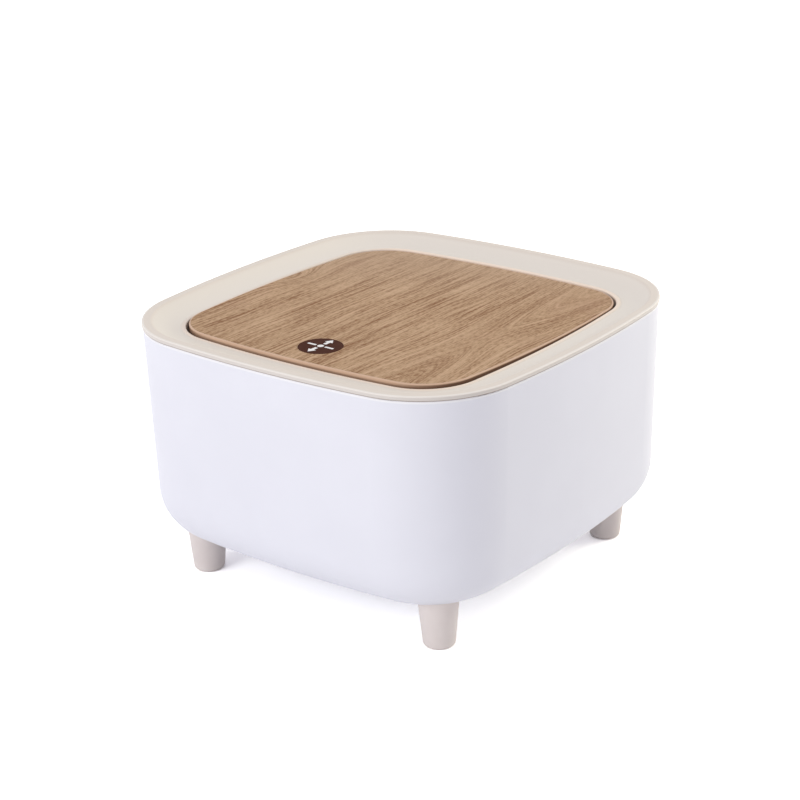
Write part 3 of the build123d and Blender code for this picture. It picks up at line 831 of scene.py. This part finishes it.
class BinSettings(PropertyGroup):
    """All that a user of the bin's panel would change."""

    ring_form: a_group(BinRing, "Ring sizes", "Section, plan and bearings of the top ring")
    marks: a_group(BinMarks, "Badge print", "Sizes of the print on the badge")
    leg_screw: a_group(BinScrew, "Leg screws", "Screws that hold the legs")
    cap_screw: a_group(BinScrew, "Bearing cap screws", "Screws that hold the bearing caps")
    lid_screw: a_group(BinScrew, "Lid screws", "Screws that hold the lid's cover")
    # the toned places are painted light and shade on the tub, ring and lid
    look: a_group(BinLook, "Finishes", "Wood, metal, rubber, ink and toned places")
    tub: a_group(BinPlastic, "Tub plastic", "Plastic of the tub")
    ring: a_group(BinPlastic, "Ring plastic", "Plastic of the top ring and its bearing caps")
    lid: a_group(BinPlastic, "Lid plastic", "Plastic of the lid's shell and cover")
    legs: a_group(BinPlastic, "Leg plastic", "Plastic of the legs")
    badge: a_group(BinPlastic, "Badge plastic", "Plastic of the badge")


SMALL_SCREW = {"diameter": 2.5 * MM, "thread_depth": 0.18 * MM, "pitch": 0.9 * MM}

# values that differ from the defaults of their group of settings
VALUES = {
    "ring": {
        "colour": (0.845, 0.765, 0.69), "shade": (0.83, 0.75, 0.675),
        "roughness": 0.4, "shine": 0.25, "texture_depth": 0.002 * MM, "gloss_change": 0.06,
    },
    "lid": {
        "colour": srgb(219, 187, 162), "shade": srgb(216, 183, 158),
        "roughness": 0.42, "texture_depth": 0.003 * MM,
    },
    "legs": {
        "colour": srgb(224, 215, 213), "shade": srgb(220, 210, 208),
        "texture_size": 0.4 * MM, "cloud_size": 12.0 * MM,
    },
    "badge": {
        "colour": srgb(90, 62, 54), "shade": srgb(84, 56, 48),
        "roughness": 0.4, "shine": 0.0, "texture_depth": 0.002 * MM, "cloud_size": 6.0 * MM,
    },
    "cap_screw": {**SMALL_SCREW, "length": 8.1 * MM, "thread_length": 5.6 * MM, "turn": pi},
    "lid_screw": {**SMALL_SCREW, "length": 5.7 * MM, "thread_length": 3.4 * MM,
                  "turn": pi + REST_TILT},
}

# for each group of screws its settings, its body, and how far its places lie from the bin's
# middle: to the sides, to the front and back, and up from the worktop, in millimetres
SCREWS = {
    "leg_screws": ("leg_screw", TUB_BODY, (67.4, 67.4, 27.2)),
    "bearing_cap_screws": ("cap_screw", RING_BODY, (86.1, 6.0, 109.1)),
    "lid_screws": ("lid_screw", LID_BODY, (51.6, 51.6, 111.85)),
}


def settings():
    return bpy.context.scene.push_bin


def tilted(place):
    """A place on the level lid, moved to where the lid rests."""
    return PIVOT + Matrix.Rotation(REST_TILT, 3, "X") @ (place - PIVOT)


def take_over(piece, node, body):
    """Lets a piece stand for a CAD node on its body."""
    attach(piece, body)
    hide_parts(node)


def quarter_places(reach_x, reach_y, height):
    """Four places, one in each quarter of the plan, from distances in millimetres."""
    return [Vector((side * reach_x, end * reach_y, height)) * MM
            for side in (-1, 1) for end in (-1, 1)]


def spun(outline):
    """An outline turned half round."""
    return [(-x, -y) for x, y in outline]


def raised_print(name, outlines, thickness, material):
    """Thin raised marks, half sunk into the badge's face, from outlines about its middle."""
    points, faces = [], []
    for outline in outlines:
        count, first = len(outline), len(points)
        for side in (-1, 1):
            rise = BADGE_RISE + side * thickness / 2
            points += [tilted(PIVOT + Vector((x, y + BADGE_Y, rise))) for x, y in outline]
        faces.append([first + step for step in reversed(range(count))])
        faces.append([first + count + step for step in range(count)])
        for step in range(count):
            after = (step + 1) % count
            faces.append([first + step, first + after,
                          first + count + after, first + count + step])
    mesh = bpy.data.meshes.new(name)
    mesh.from_pydata(points, [], faces)
    mesh.materials.append(material)
    return link(mesh, name)


def set_finish(names, material):
    """Gives CAD nodes a material in every slot they have."""
    for name in names:
        for slot in frame["nodes"][name].material_slots:
            slot.material = material


# ---- operators ----

class BIN_OT_tub(Operator):
    """Finish the tub in satin white plastic"""

    bl_idname = "push_bin.tub"
    bl_label = "Tub"

    def execute(self, context):
        # the tub's plastic carries a painted highlight along its rim
        set_finish(["tub"], moulded_plastic("tub_plastic", settings().tub, tub_rim))
        return {"FINISHED"}


class BIN_OT_legs(Operator):
    """Finish the four legs and the seals above them"""

    bl_idname = "push_bin.legs"
    bl_label = "Legs"

    def execute(self, context):
        legs = [name for name in frame["nodes"] if name.startswith("leg_") and "screw" not in name]
        set_finish(legs, moulded_plastic("leg_plastic", settings().legs))
        set_finish(["leg_screw_seals"], soft_rubber("seal_rubber", settings().look))
        return {"FINISHED"}


class BIN_OT_ring(Operator):
    """Make the top ring, and finish it and its bearing caps"""

    bl_idname = "push_bin.ring"
    bl_label = "Top ring"

    def execute(self, context):
        # the ring's plastic carries painted light and shade by place
        plastic = moulded_plastic("ring_plastic", settings().ring, ring_painted_light)
        set_finish(["bearing_cap_left", "bearing_cap_right"], plastic)
        take_over(ring_tree(settings().ring_form, plastic).grow(), "top_ring", RING_BODY)
        return {"FINISHED"}


class BIN_OT_lid(Operator):
    """Finish the lid's shell, cover, counterweight and pivots"""

    bl_idname = "push_bin.lid"
    bl_label = "Lid"

    def execute(self, context):
        # the lid's shell and cover carry painted shade under the rim
        set_finish(["lid_shell", "lid_cover"],
                   moulded_plastic("lid_plastic", settings().lid, lid_flank_painted_shade))
        set_finish(["lid_panel"], wood_grain(settings().look))
        set_finish(["counterweight", "pivot_pin_left", "pivot_pin_right"],
                   brushed_steel("plated_steel", settings().look))
        return {"FINISHED"}


class BIN_OT_badge(Operator):
    """Finish the badge"""

    bl_idname = "push_bin.badge"
    bl_label = "Badge"

    def execute(self, context):
        set_finish(["badge"], moulded_plastic("badge_plastic", settings().badge))
        return {"FINISHED"}


class BIN_OT_print(Operator):
    """Print two arrows, a push spot and two bars on the badge"""

    bl_idname = "push_bin.print"
    bl_label = "Badge print"

    def execute(self, context):
        marks = settings().marks
        half_head, half_shaft, half_bar = (
            width / 2 for width in (marks.head_width, marks.shaft_width, marks.bar_width))
        neck = marks.tip - marks.head_length
        arrow = [(-half_shaft, marks.start), (half_shaft, marks.start), (half_shaft, neck),
                 (half_head, neck), (0.0, marks.tip), (-half_head, neck), (-half_shaft, neck)]
        spot = [(marks.spot / 2 * cos(turn), marks.spot / 2 * sin(turn))
                for turn in (2 * pi * step / LATHE_STEPS for step in range(LATHE_STEPS))]
        near, far = marks.bar_start, marks.bar_start + marks.bar_length
        bar = [(near, -half_bar), (far, -half_bar), (far, half_bar), (near, half_bar)]
        outlines = [arrow, spun(arrow), spot, bar, spun(bar)]
        piece = raised_print("badge_print", outlines, marks.thickness,
                             printed_ink("badge_ink", settings().look.ink))
        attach(piece, LID_BODY)
        return {"FINISHED"}


class BIN_OT_screws(Operator):
    """Make the threaded screws of the legs, the bearing caps and the lid"""

    bl_idname = "push_bin.screws"
    bl_label = "Screws"

    def execute(self, context):
        steel = brushed_steel("screw_steel", settings().look)
        for node, (group, body, reach) in SCREWS.items():
            places = quarter_places(*reach)
            if body == LID_BODY:
                places = [tilted(place) for place in places]
            sizes = getattr(settings(), group)
            piece = screw_tree("threaded_" + node, sizes, steel).grow(places)
            take_over(piece, node, body)
        return {"FINISHED"}


# ---- stage ----

IMAGE_SIZE = 800                # pixels, each way
LENS, SENSOR = 91.93, 36.0      # millimetres
TARGET = Vector((0.0, 0.0, 0.080))
CAMERA_DISTANCE = 0.94835       # metres
CAMERA_AZIMUTH, CAMERA_ELEVATION, CAMERA_ROLL = 37.846, 21.206, -1.546      # degrees
FRAME_SHIFT = (5.36, 5.81)      # pixels by which the bin stands right and up in the frame

AMBIENT, SKY_TINT = 0.6, (0.99, 0.975, 1.015)
FLOOR_SIZE = 12.0               # metres
FLOOR_SHOWN, FLOOR_BOUNCED = 2.0, 0.9       # brightness to the eye and to the bin
LAMP_SIZE, LAMP_DISTANCE, LAMP_ELEVATION = 0.9, 1.6, 20.0       # metres, metres and degrees
LAMPS = {                       # azimuth in degrees, watts and colour
    "lamp_left": (-12.0, 9.6, (1.0, 1.01, 0.98)),
    "lamp_right": (150.0, 11.6, (1.0, 0.98, 0.8)),
}


def backwards(azimuth, elevation):
    """The direction from the target to a viewer, from angles in degrees."""
    turn, rise = radians(azimuth), radians(elevation)
    return Vector((sin(turn) * cos(rise), -cos(turn) * cos(rise), sin(rise)))


def make_camera():
    back = backwards(CAMERA_AZIMUTH, CAMERA_ELEVATION)
    camera = link(bpy.data.cameras.new("camera"), "camera")
    camera.data.sensor_width = SENSOR
    camera.data.lens = LENS
    camera.data.shift_x = -FRAME_SHIFT[0] / IMAGE_SIZE
    camera.data.shift_y = -FRAME_SHIFT[1] / IMAGE_SIZE
    camera.location = TARGET + back * CAMERA_DISTANCE
    roll = Quaternion((0.0, 0.0, 1.0), radians(CAMERA_ROLL))
    camera.rotation_euler = (back.to_track_quat("Z", "Y") @ roll).to_euler()
    bpy.context.scene.camera = camera


def seen_by_eye(sheet):
    """1 for rays that show the background: camera, glossy and transmission rays."""
    path = sheet.add("ShaderNodeLightPath")
    return path["Is Camera Ray"].math(
        "MAXIMUM", path["Is Glossy Ray"].math("MAXIMUM", path["Is Transmission Ray"]))


def make_floor():
    """A pale floor that shows white, takes the bin's shadow and is clear from below."""
    half = FLOOR_SIZE / 2
    mesh = bpy.data.meshes.new("floor")
    corners = [(-half, -half, 0.0), (half, -half, 0.0), (half, half, 0.0), (-half, half, 0.0)]
    mesh.from_pydata(corners, [], [(0, 1, 2, 3)])
    floor = link(mesh, "floor")
    finish = Finish("floor")
    plain, bright = (finish.add("ShaderNodeBsdfDiffuse", {}, {"Color": (level, level, level, 1.0)})
                     for level in (FLOOR_BOUNCED, FLOOR_SHOWN))
    above = finish.add("ShaderNodeMixShader", {}, [seen_by_eye(finish), plain, bright])
    below = finish.add("ShaderNodeNewGeometry")["Backfacing"]
    clear = finish.add("ShaderNodeBsdfTransparent")
    both = finish.add("ShaderNodeMixShader", {}, [below, above, clear])
    finish.add("ShaderNodeOutputMaterial", {}, {"Surface": both})
    mesh.materials.append(finish.material)


def make_lamp(name, azimuth, power, colour):
    """A square soft lamp that faces the middle of the bin."""
    lamp = bpy.data.lights.new(name, "AREA")
    lamp.size = LAMP_SIZE
    lamp.energy = power
    lamp.color = colour
    thing = link(lamp, name)
    back = backwards(azimuth, LAMP_ELEVATION)
    thing.location = TARGET + back * LAMP_DISTANCE
    thing.rotation_euler = back.to_track_quat("Z", "Y").to_euler()


def make_world():
    """Even soft light all round that shows as white."""
    world = bpy.data.worlds.new("world")
    world.use_nodes = True
    bpy.context.scene.world = world
    sheet = Sheet(world.node_tree)
    sheet.tree.nodes.clear()
    seen = seen_by_eye(sheet)
    strength = seen * (1.0 - AMBIENT) + AMBIENT
    colour = sheet.mix(seen, SKY_TINT, (1.0, 1.0, 1.0))
    sky = sheet.add("ShaderNodeBackground", {}, {"Color": colour, "Strength": strength})
    sheet.add("ShaderNodeOutputWorld", {}, {"Surface": sky})


class BIN_OT_stage(Operator):
    """Set up the floor, lamps and camera"""

    bl_idname = "push_bin.stage"
    bl_label = "Stage"

    def execute(self, context):
        context.scene.view_settings.view_transform = "Standard"
        make_world()
        make_floor()
        for name, lamp in LAMPS.items():
            make_lamp(name, *lamp)
        make_camera()
        return {"FINISHED"}


# ---- panel and registration ----

OPERATORS = (BIN_OT_tub, BIN_OT_legs, BIN_OT_ring, BIN_OT_lid, BIN_OT_badge, BIN_OT_print,
             BIN_OT_screws, BIN_OT_stage)


class BIN_PT_panel(Panel):
    """The bin's pieces and their settings"""

    bl_label = "Bin"
    bl_idname = "BIN_PT_panel"
    bl_space_type = "VIEW_3D"
    bl_region_type = "UI"
    bl_category = "Bin"

    def draw(self, context):
        for operator in OPERATORS:
            self.layout.operator(operator.bl_idname)
        everything = context.scene.push_bin
        for name in BinSettings.__annotations__:
            group = getattr(everything, name)
            box = self.layout.box()
            box.label(text=everything.bl_rna.properties[name].name)
            for key in type(group).__annotations__:
                box.prop(group, key)


CLASSES = (BinPlastic, BinLook, BinRing, BinScrew, BinMarks, BinSettings, *OPERATORS, BIN_PT_panel)


def register():
    for cls in CLASSES:
        bpy.utils.register_class(cls)
    bpy.types.Scene.push_bin = PointerProperty(type=BinSettings)


def unregister():
    del bpy.types.Scene.push_bin
    for cls in reversed(CLASSES):
        bpy.utils.unregister_class(cls)


def main():
    register()
    for group, values in VALUES.items():
        for name, value in values.items():
            setattr(getattr(settings(), group), name, value)
    for operator in OPERATORS:
        group, name = operator.bl_idname.split(".")
        getattr(getattr(bpy.ops, group), name)()


if __name__ == "__main__":
    main()
